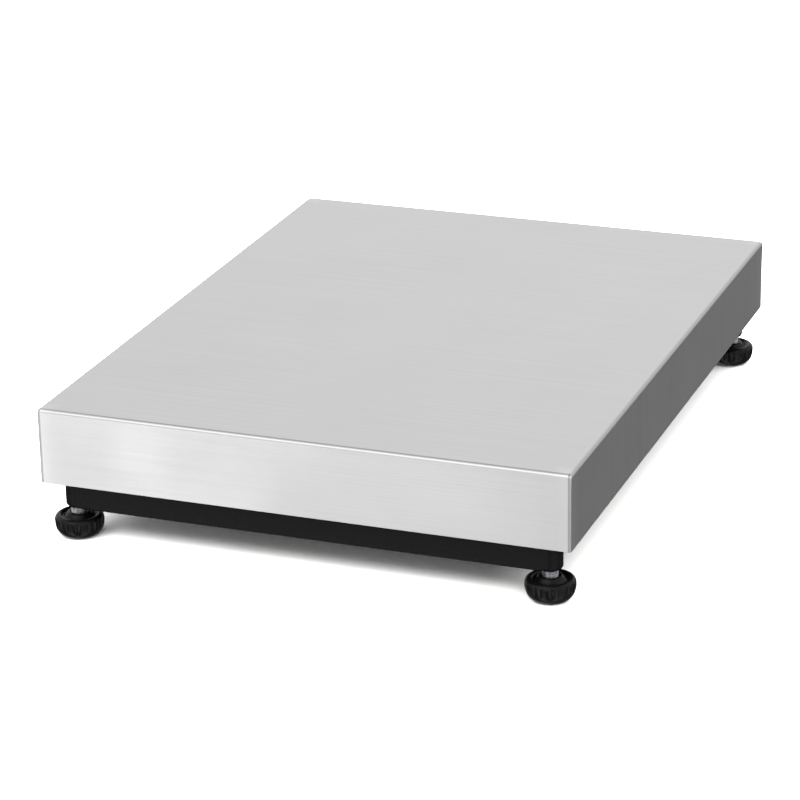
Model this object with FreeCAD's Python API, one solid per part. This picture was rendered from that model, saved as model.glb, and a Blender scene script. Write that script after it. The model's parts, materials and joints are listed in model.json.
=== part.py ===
"""Low platform scale for small animals: a lift-off stainless pan on a sprung weigh frame,
one beam load cell, and a tubular base on four screw feet.

Millimetres. +X is right, +Y is rear, +Z is up. The origin is on the floor under the middle of the pan.
"""

import FreeCAD, Part
import os
from math import cos, pi, radians, sin, sqrt, tan

V = FreeCAD.Vector
X = V(1, 0, 0)
Y = V(0, 1, 0)
Z = V(0, 0, 1)

# ---- driving dimensions ----------------------------------------------------------------------
# pan: folded stainless sheet
pan_width = 420.0
pan_depth = 550.0
pan_skirt = 60.0
pan_sheet = 1.5
pan_bend = 3.0              # outside radius of the top folds
pan_corner = 1.6            # outside radius of the ground vertical corners
pan_rim = 0.5               # deburred radius round the bottom of the skirt

# base frame: rectangular tube on edge, round threaded posts at its corners
tube_height = 38.0
tube_width = 19.0
tube_wall = 1.5
tube_corner = 2.5
base_height = 23.5          # underside of the base frame above the floor
foot_inset_x = 21.5         # foot axes from the outside of the pan
foot_inset_y = 18.7
post_diameter = 19.0
post_edge = 3.2             # rounding round the bottom of a post
post_lip = 0.2              # least wall left at the post's bottom, round the foot's thread
post_land = 0.12            # how far a tube's thin end stops short of its post's widest line
cope_fit = 0.1              # weld gap between a tube and its post
side_tube_inset = 20.5      # side tubes' centre planes from the foot axes

# middle tubes that carry the load cell, laid flat
mid_width = 60.0
mid_height = 20.0
mid_wall = 2.5
mid_corner = 3.0

# load cell
cell_sunk = 15.0            # underside of the cell below the top of the base frame
cell_length = 150.0
cell_width = 35.0
cell_height = 30.0
cell_chamfer = 1.0
cell_bore = 10.0            # radius of the two flexure bores
cell_bore_pitch = 30.0      # between the bore centres
cell_slot = 6.0             # half-height of the slot that joins the bores
seal_margin = 1.0           # seals reach past the flexure's outline, all round
seal_sunk = 0.6             # seals below the sides of the cell
cell_pocket = 3.0           # sealed pocket depth on each side
cell_bolt_pitch = 25.0      # between the two bolts at one end
cell_bolt_inset = 12.5      # outer bolt from the end of the cell
cell_thread_depth = 14.0
spacer_length = 46.0
spacer_thickness = 3.0

# weigh frame: square tube
weigh_tube = 25.0
weigh_wall = 2.0
weigh_corner = 2.5
weigh_end_gap = 5.0         # from the weigh frame to the inside of the pan, all round
plug_flange = 2.0
plug_depth = 12.0
plug_fit = 0.1

# rubber pads under the pan
pad_diameter = 25.0
pad_height = 5.0
pad_stem = 8.0
pad_stem_length = 8.0
pad_point = 1.0             # taper at the stem's end
pad_barb = 0.9              # how far the barb stands out of the stem
pad_barb_length = 2.3
pad_barb_gap = 0.2          # from the tube's wall to the barb
pad_bevel = 1.2
pad_inset = 20.0            # corner pads from the ends of the cross tubes
pad_fit = 0.1

# M8 fasteners
m8 = 8.0
m8_clear = 9.0
m8_head = 13.0
m8_head_height = 8.0
m8_socket = 6.0
m8_socket_depth = 4.5
m8_washer = 16.0
m8_washer_thickness = 1.6
m8_access = 18.0
m8_nut_flats = 13.0
m8_nut_height = 6.5
m8_thread_left = 2.0        # thread left free beyond the end of a cell screw
thread_fit = 0.05           # radial gap between a screw and its tapped hole

# overload stops
stop_inset = 48.5           # from the foot axes, along the cross tubes
stop_gap = 0.5
stop_length = 30.0
stop_chamfer = 0.8
stop_key = 4.0              # flats and depth of the key socket in the screw's lower end

# screw feet: M12 stud, fluted knob, rubber sole
stud_diameter = 12.0
stud_length = 52.0
stud_base = 6.0             # end of the stud inside the knob, above the floor
stud_chamfer = 1.0
stud_fit = 0.05             # radial gap between the stud and the knob moulded on it
knob_radius = 19.0
knob_widest = 10.8          # height at which the knob reaches its radius
knob_rim_height = 16.7
hub_height = 18.5
flutes = 18
flute_radius = 2.4
flute_bite = 0.75
knob_bowl = [(16.2, 2.6), (17.9, 5.2), (18.7, 8.0)]     # radius and height, from the underside up
knob_shoulder = 4.0
knob_dish = [(13.4, 16.0), (12.6, 14.1), (10.6, 13.9), (10.0, 14.4), (8.6, 17.5)]
hub_top_radius = 7.8
stud_lead_in = 0.8          # bevel at the top of the hub's bore
sole_radius = 12.0
sole_thickness = 2.5
sole_stand = 0.6            # how far the sole stands below the knob
sole_stem = 3.5
sole_stem_length = 2.0
sole_fit = 0.1
sole_gap = 0.05             # between the top of the sole and the knob
sole_edge = 0.4
sole_recess = 0.9           # flat rim of the knob round its sole

# bubble level
level_inset = 40.5          # from the inside of the left side tube
level_radius = 12.0
level_height = 9.0
level_wall = 2.0
level_floor = 1.5
level_glass = 2.0
level_flange = 17.0
bracket_sheet = 2.0
bracket_width = 40.0
bracket_reach = 38.0
bracket_drop = 22.0
bracket_screw_drop = 13.0   # bracket's screws below the seat of the level
bracket_screw_pitch = 24.0
level_clear = 1.0           # from the level's flange to the bracket's leg
level_screw = 2.8
level_screw_head = 3.8
level_screw_head_height = 1.4
level_flange_thickness = 2.5
level_fit = 0.02
level_window_edge = 0.5
level_drill = 15.0          # reach of the drills each way from the seat
bracket_sunk = 9.5          # seat of the level below the top of the base frame
small_screw = 4.0
small_head = 7.0
small_head_height = 2.2
small_screw_clear = 0.2     # radial gap in the sheet that a screw holds
bracket_screw_length = 7.0
clip_screw_length = 6.2

# socket for the indicator's lead, and the load cell's own lead
socket_inset = 46.5         # from the inside of the right side tube
socket_rise = 10.5          # above the underside of the base frame
socket_flange = 19.0
socket_flange_thickness = 2.0
socket_barrel = 15.5
socket_hole_fit = 0.2
socket_mouth = 12.0
socket_depth = 6.0
insert_diameter = 10.4
socket_tail = 8.0           # barrel behind the tube, which the nut runs on
socket_nut_flats = 19.0
socket_nut_height = 3.0
contact_radius = 0.8
contact_circle = 3.2
contact_length = 10.0
contact_sunk = 0.5
contact_bore = 11.0
insert_fit = 0.02
lead_entry = 3.0            # depth to which the lead's bore goes into the insert
lead_diameter = 4.5
gland_flats = 10.0
gland_hex = 5.0
gland_nose = 7.0
gland_nose_inset = 0.7
gland_nose_edge = 1.0
gland_rise = 12.6           # gland's axis above the underside of the cell
boot_length = 14.0
boot_collar = 3.0           # straight part at the socket
boot_insets = (0.4, 0.8)    # collar's two radii below the barrel's
boot_wall = 1.2             # at the thin end
arc_share = 0.45            # share of a run that the arc at each end may take
clip_width = 8.0
clip_band = 1.2
clip_tail = 8.0
clip_fit = 0.1
clip_sunk = 0.02            # clip's foot into the line of the lead's underside
clip_lift = 0.2
clip_drill = 6.0            # reach of the clip's drill each way
clip_cut = 40.0             # size of the block that trims the band at the wall
mid_clip_xs = (80.0,)
side_clip_steps = (45.0, 75.0)

# ---- places worked out from the driving dimensions ---------------------------------------------
base_top = base_height + tube_height
cell_bottom = base_top - cell_sunk
cell_top = cell_bottom + cell_height
cell_mid_z = (cell_bottom + cell_top) / 2
mid_top = cell_bottom - spacer_thickness
mid_bottom = mid_top - mid_height
upper_mid_bottom = cell_top + spacer_thickness
weigh_top = upper_mid_bottom + mid_height
weigh_bottom = weigh_top - weigh_tube
pan_inside_top = weigh_top + pad_height
pan_top = pan_inside_top + pan_sheet
pan_rim_height = pan_top - pan_skirt
pan_inside_x = pan_width / 2 - pan_sheet
pan_inside_y = pan_depth / 2 - pan_sheet
weigh_half_x = pan_inside_x - weigh_end_gap
weigh_half_y = pan_inside_y - weigh_end_gap
weigh_cross_y = weigh_half_y - weigh_tube / 2
weigh_side_x = weigh_half_x - weigh_tube / 2
foot_x = pan_width / 2 - foot_inset_x
foot_y = pan_depth / 2 - foot_inset_y
side_tube_x = foot_x - side_tube_inset
base_inner_y = foot_y - tube_width / 2
base_inner_x = side_tube_x - tube_width / 2
post_radius = post_diameter / 2
stop_x = foot_x - stop_inset
stop_tip = weigh_bottom - stop_gap
level_x = -base_inner_x + level_inset
level_y = -base_inner_y + bracket_sheet + level_flange + level_clear
bracket_top = base_top - bracket_sunk
bracket_screw_z = bracket_top - bracket_screw_drop
socket_x = base_inner_x - socket_inset
socket_z = base_height + socket_rise
socket_face = foot_y + tube_width / 2
socket_back = base_inner_y - socket_tail
gland_start = cell_length / 2
gland_z = cell_bottom + gland_rise
cell_bolt_middle = cell_length / 2 - cell_bolt_inset - cell_bolt_pitch / 2
bolt_offsets = (-cell_bolt_pitch / 2, cell_bolt_pitch / 2)
corners = {
    "front_left": (-1, -1),
    "front_right": (1, -1),
    "rear_left": (-1, 1),
    "rear_right": (1, 1),
}

os.makedirs("parts", exist_ok=True)


# ---- helpers ------------------------------------------------------------------------------------
def save(name, *solids):
    """Write one node, which may hold several separate solids."""
    shape = solids[0] if len(solids) == 1 else Part.makeCompound(list(solids))
    shape.exportStep("parts/" + name + ".step")


def box(x0, x1, y0, y1, z0, z1):
    return Part.makeBox(x1 - x0, y1 - y0, z1 - z0, V(x0, y0, z0))


def rod(radius, length, at, along=Z):
    return Part.makeCylinder(radius, length, at, along)


def ring(outer, inner, length, at, along=Z):
    return rod(outer, length, at, along).cut(rod(inner, length, at, along))


def hexagon(flats, height, at, along=Z):
    """Hexagonal prism, standing on the point at."""
    circle = flats / 2 / cos(radians(30))
    points = [V(circle * cos(radians(a)), circle * sin(radians(a)), 0) for a in range(0, 361, 60)]
    prism = Part.Face(Part.makePolygon(points)).extrude(Z * height)
    prism.Placement = FreeCAD.Placement(at, FreeCAD.Rotation(Z, along))
    return prism


def edges_along(shape, direction):
    """Straight edges that run along a direction."""
    found = []
    for edge in shape.Edges:
        if edge.Curve.TypeId == "Part::GeomLine" and abs(edge.Curve.Direction.dot(direction)) > 0.999:
            found.append(edge)
    return found


def hollow(x0, x1, y0, y1, z0, z1, along, wall, corner):
    """Rectangular tube with rounded corners, open at both ends."""
    outer = box(x0, x1, y0, y1, z0, z1)
    outer = outer.makeFillet(corner, edges_along(outer, along))
    side = V(wall, wall, wall) - along * wall
    inner = box(x0 + side.x, x1 - side.x, y0 + side.y, y1 - side.y, z0 + side.z, z1 - side.z)
    inner = inner.makeFillet(corner - wall if corner > wall else corner / 4, edges_along(inner, along))
    return outer.cut(inner)


def revolve(points, at):
    """Solid of revolution about Z from (radius, height) points, given from the bottom up and closed."""
    outline = Part.makePolygon([V(r, 0, z) for r, z in points + points[:1]])
    turned = Part.Face(outline).revolve(V(0, 0, 0), Z, 360)
    turned.translate(at)
    return turned


def washer(at):
    return ring(m8_washer / 2, m8_clear / 2, m8_washer_thickness, at)


def cap_screw(seat, length, down):
    """M8 socket-head screw. seat is the point under its head, and down points along its shank."""
    up = down * -1
    head = rod(m8_head / 2, m8_head_height, seat, up)
    key = hexagon(m8_socket, m8_socket_depth, seat + up * (m8_head_height - m8_socket_depth), up)
    shank = rod(m8 / 2, length, seat, down)
    return head.cut(key).fuse(shank).removeSplitter()


def pan_head_screw(seat, length, into):
    """Small screw with a low domed head. seat is under the head, and into points along its shank."""
    head = rod(small_head / 2, small_head_height, seat, into * -1)
    rim = [e for e in head.Edges if e.Curve.TypeId == "Part::GeomCircle"]
    rim = [e for e in rim if (e.Curve.Center - seat).Length > small_head_height / 2]
    head = head.makeFillet(small_head_height * 0.45, rim)
    return head.fuse(rod(small_screw / 2, length, seat, into)).removeSplitter()


# ---- pan ----------------------------------------------------------------------------------------
def arch(half, low, high, bend, across, length):
    """Upright outline with two rounded top corners, extruded along its own normal."""
    slant = bend * (1 - sqrt(0.5))

    def at(u, z):
        return across * u + V(0, 0, z)

    edges = [
        Part.LineSegment(at(-half, low), at(half, low)),
        Part.LineSegment(at(half, low), at(half, high - bend)),
        Part.Arc(at(half, high - bend), at(half - slant, high - slant), at(half - bend, high)),
        Part.LineSegment(at(half - bend, high), at(bend - half, high)),
        Part.Arc(at(bend - half, high), at(slant - half, high - slant), at(-half, high - bend)),
        Part.LineSegment(at(-half, high - bend), at(-half, low)),
    ]
    face = Part.Face(Part.Wire([e.toShape() for e in edges]))
    along = Y if across == X else X
    face.translate(along * (-length / 2))
    return face.extrude(along * length)


def folded_block(half_x, half_y, low, high, bend, corner):
    """Block with bent top edges that meet at mitred corners, and rounded vertical corners."""
    block = arch(half_x, low, high, bend, X, 2 * half_y).common(
        arch(half_y, low, high, bend, Y, 2 * half_x)
    )
    return block.makeFillet(corner, edges_along(block, Z))


def pan():
    outer = folded_block(pan_width / 2, pan_depth / 2, pan_rim_height, pan_top, pan_bend, pan_corner)
    outer = outer.makeFillet(pan_rim, [e for e in outer.Edges if e.BoundBox.ZMax < pan_rim_height + 0.01])
    inner_corner = max(pan_corner - pan_sheet, 0.1)
    inner = folded_block(
        pan_inside_x, pan_inside_y, pan_rim_height - 1, pan_inside_top, pan_bend - pan_sheet, inner_corner
    )
    return outer.cut(inner)


# ---- base frame ---------------------------------------------------------------------------------
def corner_post(sx, sy):
    """Round post, tapped right through for its foot."""
    at = V(sx * foot_x, sy * foot_y, base_height)
    bore = stud_diameter / 2 + thread_fit
    post = rod(post_radius, tube_height, at)
    edge = min(post_edge, post_radius - bore - post_lip)
    post = post.makeFillet(edge, [e for e in post.Edges if e.BoundBox.ZMax < base_height + 0.01])
    return post.cut(rod(bore, tube_height, at))


def cross_tube(sy):
    """Front or rear tube of the base, coped round the posts, with the overload stops' holes in its top."""
    reach = foot_x - sqrt(post_radius**2 - (post_radius - post_land) ** 2)
    y = sy * foot_y
    half = tube_width / 2
    tube = hollow(-reach, reach, y - half, y + half, base_height, base_top, X, tube_wall, tube_corner)
    for sx in (-1, 1):
        tube = tube.cut(rod(post_radius + cope_fit, tube_height, V(sx * foot_x, y, base_height)))
        tube = tube.cut(rod(m8_clear / 2, tube_wall * 2, V(sx * stop_x, y, base_top - tube_wall * 1.5)))
    if sy > 0:
        hole = socket_barrel / 2 + socket_hole_fit
        tube = tube.cut(rod(hole, tube_width + 2, V(socket_x, y - half - 1, socket_z), Y))
    else:
        for screw_x in bracket_screw_xs():
            at = V(screw_x, y + half - tube_wall * 1.5, bracket_screw_z)
            tube = tube.cut(rod(small_screw / 2 + thread_fit, tube_wall * 2, at, Y))
    return tube


def side_tube(sx):
    half = tube_width / 2
    x = sx * side_tube_x
    return hollow(
        x - half, x + half, -base_inner_y, base_inner_y, base_height, base_top, Y, tube_wall, tube_corner
    )


def bolt_holes(at_y, z0, z1, radius):
    """Drill for the two bolts of one end of the load cell."""
    drills = [rod(radius, z1 - z0, V(0, at_y + dy, z0)) for dy in bolt_offsets]
    return Part.makeCompound(drills)


def base_mid_tube():
    y = cell_bolt_middle
    low, high = mid_bottom, mid_top
    half = mid_width / 2
    tube = hollow(-base_inner_x, base_inner_x, y - half, y + half, low, high, X, mid_wall, mid_corner)
    tube = tube.cut(bolt_holes(y, high - mid_wall * 1.5, high + 1, m8_clear / 2))
    tube = tube.cut(bolt_holes(y, low - 1, low + mid_wall * 1.5, m8_access / 2))
    for clip in mid_clips():
        tube = tube.cut(clip.hole())
    return tube


# ---- load cell ----------------------------------------------------------------------------------
def flexure_outline(half_width, x, grow=0.0):
    """The two bores and the slot between them, as a block along X."""
    span = 2 * half_width
    start = V(x - half_width, 0, cell_mid_z)
    half_pitch = cell_bore_pitch / 2
    bores = [rod(cell_bore + grow, span, start + Y * s * half_pitch, X) for s in (-1, 1)]
    slot = box(
        x - half_width,
        x + half_width,
        -half_pitch,
        half_pitch,
        cell_mid_z - cell_slot - grow,
        cell_mid_z + cell_slot + grow,
    )
    return bores[0].fuse([bores[1], slot]).removeSplitter()


def load_cell():
    half_length = cell_length / 2
    block = box(-cell_width / 2, cell_width / 2, -half_length, half_length, cell_bottom, cell_top)
    block = block.makeChamfer(cell_chamfer, edges_along(block, X) + edges_along(block, Z))
    block = block.cut(flexure_outline(cell_width / 2, 0))
    for sx in (-1, 1):
        x = sx * (cell_width / 2 - cell_pocket / 2)
        block = block.cut(flexure_outline(cell_pocket / 2, x, seal_margin))
    tapped = m8 / 2 + thread_fit
    block = block.cut(bolt_holes(cell_bolt_middle, cell_bottom, cell_bottom + cell_thread_depth, tapped))
    return block.cut(bolt_holes(-cell_bolt_middle, cell_top - cell_thread_depth, cell_top, tapped))


def cell_seals():
    """The two potted covers over the strain gauges, a little below the cell's sides."""
    seals = []
    for sx in (-1, 1):
        thick = cell_pocket - seal_sunk
        x = sx * (cell_width / 2 - cell_pocket + thick / 2)
        seals.append(flexure_outline(thick / 2, x, seal_margin))
    return seals


def spacer(at_y, low):
    plate = box(
        -cell_width / 2,
        cell_width / 2,
        at_y - spacer_length / 2,
        at_y + spacer_length / 2,
        low,
        low + spacer_thickness,
    )
    return plate.cut(bolt_holes(at_y, low, low + spacer_thickness, m8_clear / 2))


def cell_screws(at_y, wall_face, down):
    """Screws and washers for one end. wall_face is the inside of the tube wall that they clamp."""
    up = down * -1
    reach = mid_wall + spacer_thickness + m8_washer_thickness + cell_thread_depth - m8_thread_left
    screws, washers = [], []
    for dy in bolt_offsets:
        point = V(0, at_y + dy, wall_face)
        seat = point + up * m8_washer_thickness
        screws.append(cap_screw(seat, reach, down))
        washers.append(washer(point if up.z > 0 else seat))
    return screws, washers


# ---- overload stops -----------------------------------------------------------------------------
stop_places = [(sx * stop_x, sy * foot_y) for sx in (-1, 1) for sy in (-1, 1)]


def stop_screw(x, y):
    """Set screw whose flat tip stands just below the weigh frame."""
    low = stop_tip - stop_length
    body = rod(m8 / 2, stop_length, V(x, y, low))
    body = body.makeChamfer(stop_chamfer, [e for e in body.Edges if e.Curve.TypeId == "Part::GeomCircle"])
    return body.cut(hexagon(stop_key, stop_key, V(x, y, low)))


def stop_nut(x, y, low):
    hole = rod(m8 / 2 + thread_fit, m8_nut_height, V(x, y, low))
    return hexagon(m8_nut_flats, m8_nut_height, V(x, y, low)).cut(hole)


# ---- weigh frame --------------------------------------------------------------------------------
def weigh_cross_tube(sy):
    half = weigh_tube / 2
    y = sy * weigh_cross_y
    reach = weigh_half_x
    tube = hollow(-reach, reach, y - half, y + half, weigh_bottom, weigh_top, X, weigh_wall, weigh_corner)
    for name, x, pad_y in pad_places():
        if abs(pad_y - y) < half:
            tube = tube.cut(pad_hole(x, pad_y))
    return tube


def weigh_side_tube(sx):
    half = weigh_tube / 2
    x = sx * weigh_side_x
    end = weigh_cross_y - half
    tube = hollow(x - half, x + half, -end, end, weigh_bottom, weigh_top, Y, weigh_wall, weigh_corner)
    for name, pad_x, y in pad_places():
        if abs(y) < end and abs(pad_x - x) < half:
            tube = tube.cut(pad_hole(pad_x, y))
    return tube


def weigh_mid_tube():
    end = weigh_side_x - weigh_tube / 2
    y = -cell_bolt_middle
    low, high = upper_mid_bottom, upper_mid_bottom + mid_height
    tube = hollow(-end, end, y - mid_width / 2, y + mid_width / 2, low, high, X, mid_wall, mid_corner)
    tube = tube.cut(bolt_holes(y, low - 1, low + mid_wall * 1.5, m8_clear / 2))
    return tube.cut(bolt_holes(y, high - mid_wall * 1.5, high + 1, m8_access / 2))


def end_plug(sx, sy):
    """Plastic plug with a thin flange, pushed into the open end of a weigh frame cross tube."""
    y = sy * weigh_cross_y
    half = weigh_tube / 2
    inside = half - weigh_wall - plug_fit
    flange = box(0, plug_flange, y - half, y + half, weigh_bottom, weigh_top)
    flange = flange.makeFillet(weigh_corner, edges_along(flange, X))
    body = box(-plug_depth, 0, y - inside, y + inside, weigh_top - half - inside, weigh_top - half + inside)
    body = body.makeFillet(max(weigh_corner - weigh_wall, 0) + plug_fit, edges_along(body, X))
    plug = flange.fuse(body).removeSplitter()
    plug.translate(V(weigh_half_x, 0, 0))
    return plug if sx > 0 else plug.mirror(V(0, 0, 0), X)


def pad_places():
    """Name and place of each rubber pad: one at each corner, and one half way along each side."""
    places = []
    for name, (sx, sy) in corners.items():
        places.append((name, sx * (weigh_half_x - pad_inset), sy * weigh_cross_y))
    for name, sx in (("left", -1), ("right", 1)):
        places.append((name, sx * weigh_side_x, 0.0))
    return places


def pad_hole(x, y):
    return rod(pad_stem / 2 + pad_fit, weigh_wall * 2, V(x, y, weigh_top - weigh_wall * 1.5))


def pan_pad(x, y):
    r = pad_diameter / 2
    stem = pad_stem / 2
    barb = stem + pad_barb
    under_wall = -weigh_wall - pad_barb_gap
    points = [
        (0, -pad_stem_length),
        (stem - pad_point, -pad_stem_length),
        (barb, under_wall - pad_barb_length),
        (barb, under_wall),
        (stem, under_wall),
        (stem, 0),
        (r, 0),
        (r, pad_height - pad_bevel),
        (r - pad_bevel, pad_height),
        (0, pad_height),
    ]
    return revolve(points, V(x, y, weigh_top))


# ---- screw feet ---------------------------------------------------------------------------------
def knob(x, y):
    """Fluted hand knob with a domed shoulder, a dished top and a raised hub round the stud."""
    bottom = [(0, sole_stand), (sole_radius + sole_recess, sole_stand)]
    shoulder = [(knob_radius, knob_widest)]
    for a in range(0, 91, 15):
        dr, dz = knob_shoulder * cos(radians(a)), knob_shoulder * sin(radians(a))
        shoulder.append((knob_radius - knob_shoulder + dr, knob_rim_height - knob_shoulder + dz))
    inside = [
        (hub_top_radius, hub_height),
        (stud_diameter / 2 + stud_lead_in, hub_height),
        (stud_diameter / 2 + stud_fit, hub_height - stud_lead_in),
        (stud_diameter / 2 + stud_fit, stud_base),
        (0, stud_base),
    ]
    body = revolve(bottom + knob_bowl + shoulder + knob_dish + inside, V(0, 0, 0))
    body = body.cut(rod(sole_radius + sole_fit, sole_thickness, V(0, 0, 0)))
    body = body.cut(rod(sole_stem + sole_fit, sole_stem_length + sole_fit, V(0, 0, sole_thickness)))
    cutter_at = knob_radius + flute_radius - flute_bite
    step = 360.0 / flutes
    cutters = []
    for i in range(flutes):
        a = radians((i + 0.5) * step)
        at = V(cutter_at * cos(a), cutter_at * sin(a), -1)
        cutters.append(rod(flute_radius, knob_rim_height + 2, at))
    body = body.cut(cutters)
    body.translate(V(x, y, 0))
    return body


def stud(x, y):
    body = rod(stud_diameter / 2, stud_length, V(x, y, stud_base))
    top = [e for e in body.Edges if e.BoundBox.ZMin > stud_base + stud_length - 0.01]
    return body.makeChamfer(stud_chamfer, top)


def sole(x, y):
    """Rubber disc that stays put on the floor while the knob turns on its stem."""
    disc = rod(sole_radius, sole_thickness - sole_gap, V(x, y, 0))
    disc = disc.makeFillet(sole_edge, [e for e in disc.Edges if e.BoundBox.ZMax < 0.01])
    stem = rod(sole_stem, sole_thickness + sole_stem_length - sole_gap, V(x, y, 0))
    return disc.fuse(stem).removeSplitter()


# ---- bubble level -------------------------------------------------------------------------------
def bracket_screw_xs():
    return [level_x - bracket_screw_pitch / 2, level_x + bracket_screw_pitch / 2]


def level_bracket():
    """Angle bracket on the inside of the front tube."""
    x0, x1 = level_x - bracket_width / 2, level_x + bracket_width / 2
    y0 = -base_inner_y
    seat = box(x0, x1, y0, y0 + bracket_reach, bracket_top - bracket_sheet, bracket_top)
    leg = box(x0, x1, y0, y0 + bracket_sheet, bracket_top - bracket_drop, bracket_top)
    bracket = seat.fuse(leg).removeSplitter()
    outside = [
        e
        for e in edges_along(bracket, X)
        if abs(e.BoundBox.YMin - y0) < 0.01 and e.BoundBox.ZMin > bracket_top - 0.01
    ]
    bracket = bracket.makeFillet(bracket_sheet, outside)
    for x in bracket_screw_xs():
        hole = small_screw / 2 + small_screw_clear
        bracket = bracket.cut(rod(hole, bracket_sheet * 2, V(x, y0 - 1, bracket_screw_z), Y))
    return bracket.cut(level_drills(level_screw / 2 + thread_fit))


def level_screw_points():
    middle = (level_radius + level_flange) / 2
    return [
        V(level_x + middle * cos(radians(a)), level_y + middle * sin(radians(a)), bracket_top)
        for a in (90, 210, 330)
    ]


def level_drills(radius):
    drills = [rod(radius, 2 * level_drill, p - Z * level_drill) for p in level_screw_points()]
    return Part.makeCompound(drills)


def level_housing():
    flange = rod(level_flange, level_flange_thickness, V(level_x, level_y, bracket_top))
    cup = rod(level_radius, level_height, V(level_x, level_y, bracket_top))
    inside = rod(level_radius - level_wall, level_height, V(level_x, level_y, bracket_top + level_floor))
    return flange.fuse(cup).removeSplitter().cut(inside).cut(level_drills(level_screw / 2 + thread_fit))


def level_fluid():
    deep = level_height - level_floor - level_glass
    return rod(level_radius - level_wall - level_fit, deep, V(level_x, level_y, bracket_top + level_floor))


def level_window():
    low = bracket_top + level_height - level_glass
    window = rod(level_radius - level_wall - level_fit, level_glass, V(level_x, level_y, low))
    rim = [e for e in window.Edges if e.BoundBox.ZMin > low + level_glass - 0.01]
    return window.makeFillet(level_window_edge, rim)


def level_screws():
    screws = []
    for p in level_screw_points():
        head = rod(level_screw_head / 2, level_screw_head_height, p + Z * level_flange_thickness)
        shank = rod(level_screw / 2, level_flange_thickness + bracket_sheet, p - Z * bracket_sheet)
        screws.append(head.fuse(shank).removeSplitter())
    return screws


# ---- socket and lead ----------------------------------------------------------------------------
def socket_shell():
    """Round receptacle through the rear tube: flange outside, nut inside."""
    at = V(socket_x, socket_back, socket_z)
    barrel_length = socket_face - socket_back
    barrel = rod(socket_barrel / 2, barrel_length, at, Y)
    flange = rod(socket_flange / 2, socket_flange_thickness, V(socket_x, socket_face, socket_z), Y)
    shell = barrel.fuse(flange).removeSplitter()
    mouth_end = socket_face + socket_flange_thickness
    mouth = V(socket_x, mouth_end - socket_depth, socket_z)
    shell = shell.cut(rod(socket_mouth / 2, socket_depth, mouth, Y))
    return shell.cut(rod(insert_diameter / 2, barrel_length, at, Y))


def socket_insert():
    """Insulator that carries the contacts, flush with the bottom of the mouth."""
    front = socket_face + socket_flange_thickness - socket_depth
    body = rod(insert_diameter / 2 - insert_fit, front - socket_back, V(socket_x, socket_back, socket_z), Y)
    for at in contact_points(front):
        body = body.cut(rod(contact_radius + insert_fit, contact_bore + 1, at - Y * contact_bore, Y))
    return body.cut(rod(lead_diameter / 2 + clip_fit, lead_entry, V(socket_x, socket_back, socket_z), Y))


def contact_points(y):
    points = []
    for a in (45, 135, 225, 315):
        dx, dz = contact_circle * cos(radians(a)), contact_circle * sin(radians(a))
        points.append(V(socket_x + dx, y, socket_z + dz))
    return points


def socket_contacts():
    front = socket_face + socket_flange_thickness - socket_depth
    back = contact_length + contact_sunk
    return [rod(contact_radius, contact_length, at - Y * back, Y) for at in contact_points(front)]


def socket_nut():
    at = V(socket_x, base_inner_y - socket_nut_height, socket_z)
    nut = hexagon(socket_nut_flats, socket_nut_height, at, Y)
    return nut.cut(rod(socket_barrel / 2 + thread_fit, socket_nut_height, at, Y))


def lead_boot():
    """Tapered sleeve where the lead enters the back of the socket."""
    points = [
        (lead_diameter / 2 + clip_fit, 0),
        (socket_barrel / 2 - boot_insets[0], 0),
        (socket_barrel / 2 - boot_insets[1], boot_collar),
        (lead_diameter / 2 + boot_wall, boot_length),
        (lead_diameter / 2 + clip_fit, boot_length),
    ]
    boot = revolve(points, V(0, 0, 0))
    boot.Placement = FreeCAD.Placement(V(socket_x, socket_back, socket_z), FreeCAD.Rotation(Z, Y * -1))
    return boot


def cell_gland():
    """Small gland on the fixed end of the load cell."""
    at = V(0, gland_start, gland_z)
    body = hexagon(gland_flats, gland_hex, at, Y)
    nose = rod(gland_flats / 2 - gland_nose_inset, gland_nose, at + Y * gland_hex, Y)
    tip = [e for e in nose.Edges if e.BoundBox.YMin > gland_start + gland_hex + gland_nose - 0.01]
    body = body.fuse(nose.makeChamfer(gland_nose_edge, tip)).removeSplitter()
    return body.cut(rod(lead_diameter / 2 + clip_fit, gland_hex + gland_nose, at, Y))


# Route of the load cell's lead: out of the gland, down beside the middle tube, along the right
# side tube, and across to the back of the socket.
mid_rear = cell_bolt_middle + mid_width / 2
run_y = mid_rear + clip_band + lead_diameter / 2
run_x = base_inner_x - clip_band - lead_diameter / 2
run_z = socket_z
lead_route = [
    V(0, gland_start + 2, gland_z),
    V(0, gland_start + 30, gland_z),
    V(9, gland_start + 44, gland_z - 6),
    V(26, gland_start + 47, gland_z - 15),
    V(43, gland_start + 34, run_z + 3),
    V(62, run_y, run_z),
    V(98, run_y, run_z + 0.4),
    V(124, run_y + 1, run_z),
    V(144, run_y + 9, run_z),
    V(run_x, run_y + 29, run_z),
    V(run_x, run_y + 61, run_z + 0.4),
    V(run_x, run_y + 89, run_z),
    V(run_x - 9, run_y + 105, run_z),
    V(socket_x + 17, run_y + 112, run_z),
    V(socket_x, run_y + 126, run_z),
    V(socket_x, socket_back + 2.5, run_z),
]


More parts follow.
